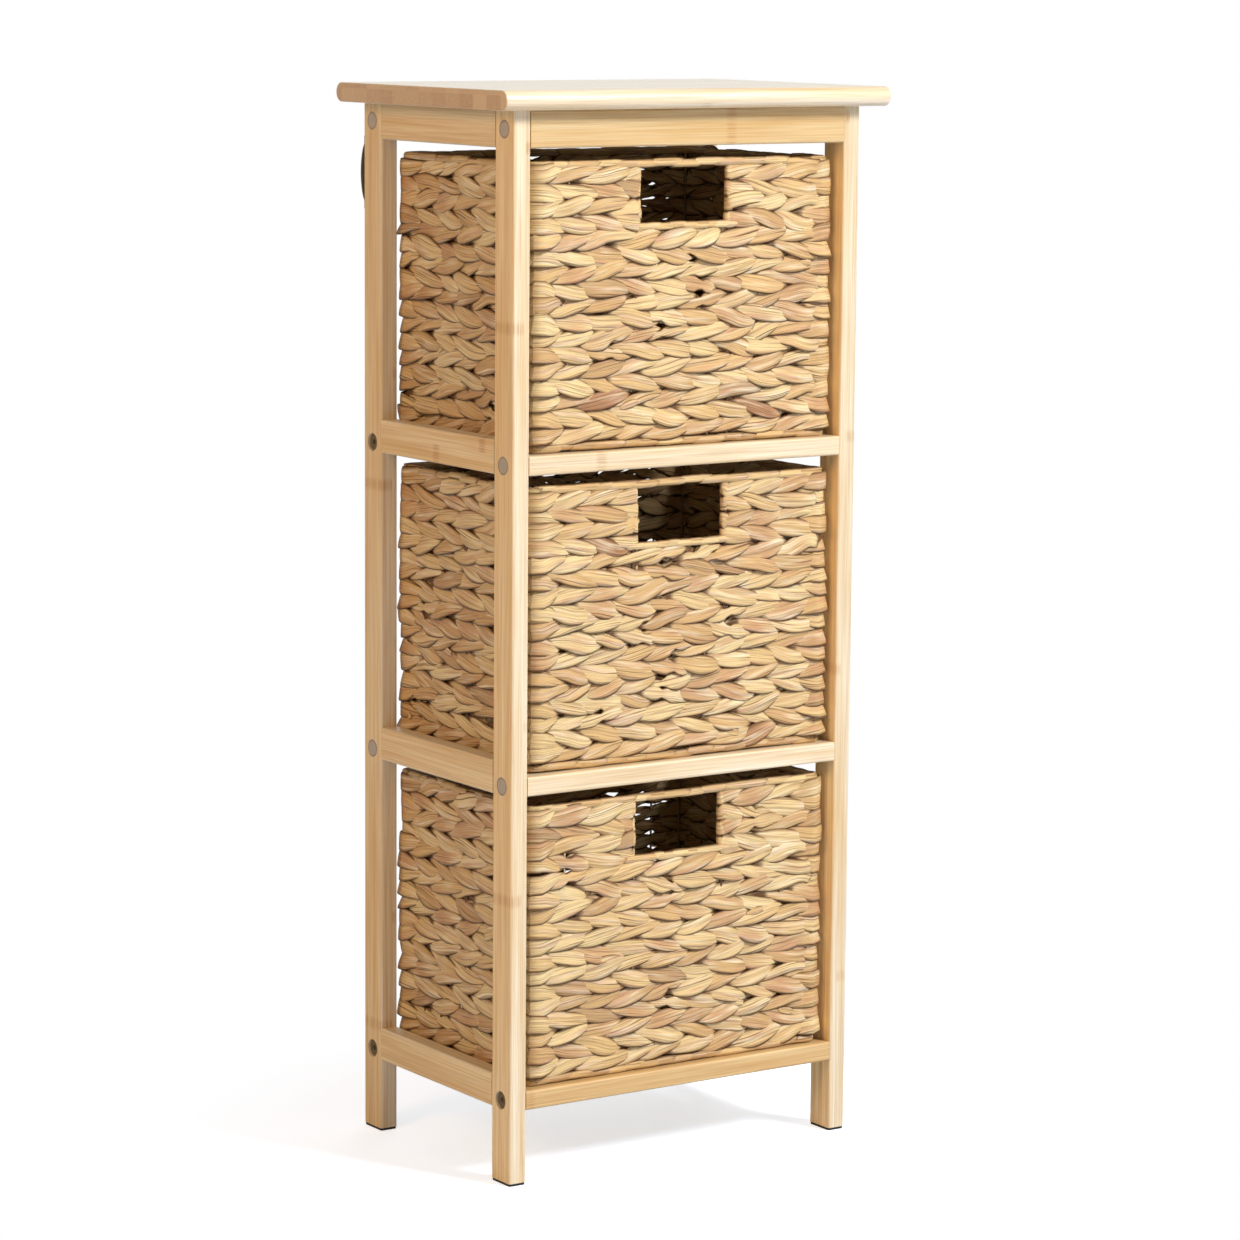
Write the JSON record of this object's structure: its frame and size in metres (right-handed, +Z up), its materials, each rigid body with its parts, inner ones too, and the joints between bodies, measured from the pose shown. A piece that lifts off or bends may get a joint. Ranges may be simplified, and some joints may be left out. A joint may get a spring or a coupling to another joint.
{
  "type": "drawer unit",
  "caption": "Tall open bamboo stand with a rounded top board and woven water-hyacinth basket drawers, each with a hand hole, sliding out on the cross rails.",
  "frame": {"origin": "on the floor, under the middle of the top board", "axes": "+Z up, +X to the right of the unit, -Y to its front, where the baskets come out"},
  "size_m": [0.35, 0.245, 0.825],
  "materials": {
    "bamboo": "clear satin lacquer",
    "water_hyacinth": "dry braided leaf",
    "wire_steel": "dark lacquered wire",
    "foot_rubber": "matt",
    "zinc_steel": "zinc plated",
    "cap_plastic": "matt cover cap",
    "dowel_wood": "raw beech",
    "strap_webbing": "woven nylon webbing"
  },
  "bodies": {
    "stand": {"front_left_post": "bamboo", "front_left_foot_pad": "foot_rubber", "front_right_post": "bamboo", "front_right_foot_pad": "foot_rubber", "rear_left_post": "bamboo", "rear_left_foot_pad": "foot_rubber", "rear_right_post": "bamboo", "rear_right_foot_pad": "foot_rubber", "left_lower_side_rail": "bamboo", "left_middle_side_rail": "bamboo", "left_upper_side_rail": "bamboo", "left_side_apron": "bamboo", "right_lower_side_rail": "bamboo", "right_middle_side_rail": "bamboo", "right_upper_side_rail": "bamboo", "right_side_apron": "bamboo", "lower_front_rail": "bamboo", "middle_front_rail": "bamboo", "upper_front_rail": "bamboo", "front_apron": "bamboo", "lower_rear_rail": "bamboo", "middle_rear_rail": "bamboo", "upper_rear_rail": "bamboo", "rear_apron": "bamboo", "top_board": "bamboo", "frame_bolts": "zinc_steel", "threaded_inserts": "zinc_steel", "bolt_cover_caps": "cap_plastic", "locating_dowels": "dowel_wood", "side_rail_dowels": "dowel_wood", "top_board_screws": "zinc_steel", "wall_strap_loop": "strap_webbing", "wall_strap_screws": "zinc_steel"},
    "lower_basket": {"lower_basket_weave": "water_hyacinth", "lower_basket_wire_frame": "wire_steel", "lower_basket_rim": "water_hyacinth", "lower_basket_base_border": "water_hyacinth", "lower_basket_hand_hole_binding": "water_hyacinth"},
    "middle_basket": {"middle_basket_weave": "water_hyacinth", "middle_basket_wire_frame": "wire_steel", "middle_basket_rim": "water_hyacinth", "middle_basket_base_border": "water_hyacinth", "middle_basket_hand_hole_binding": "water_hyacinth"},
    "upper_basket": {"upper_basket_weave": "water_hyacinth", "upper_basket_wire_frame": "wire_steel", "upper_basket_rim": "water_hyacinth", "upper_basket_base_border": "water_hyacinth", "upper_basket_hand_hole_binding": "water_hyacinth"}
  },
  "joints": [
    {"name": "lower_basket_slide", "type": "slide", "parent": "stand", "child": "lower_basket", "axis": [0, -1, 0], "range_m": [0, 0.185]},
    {"name": "middle_basket_slide", "type": "slide", "parent": "stand", "child": "middle_basket", "axis": [0, -1, 0], "range_m": [0, 0.185]},
    {"name": "upper_basket_slide", "type": "slide", "parent": "stand", "child": "upper_basket", "axis": [0, -1, 0], "range_m": [0, 0.185]}
  ]
}
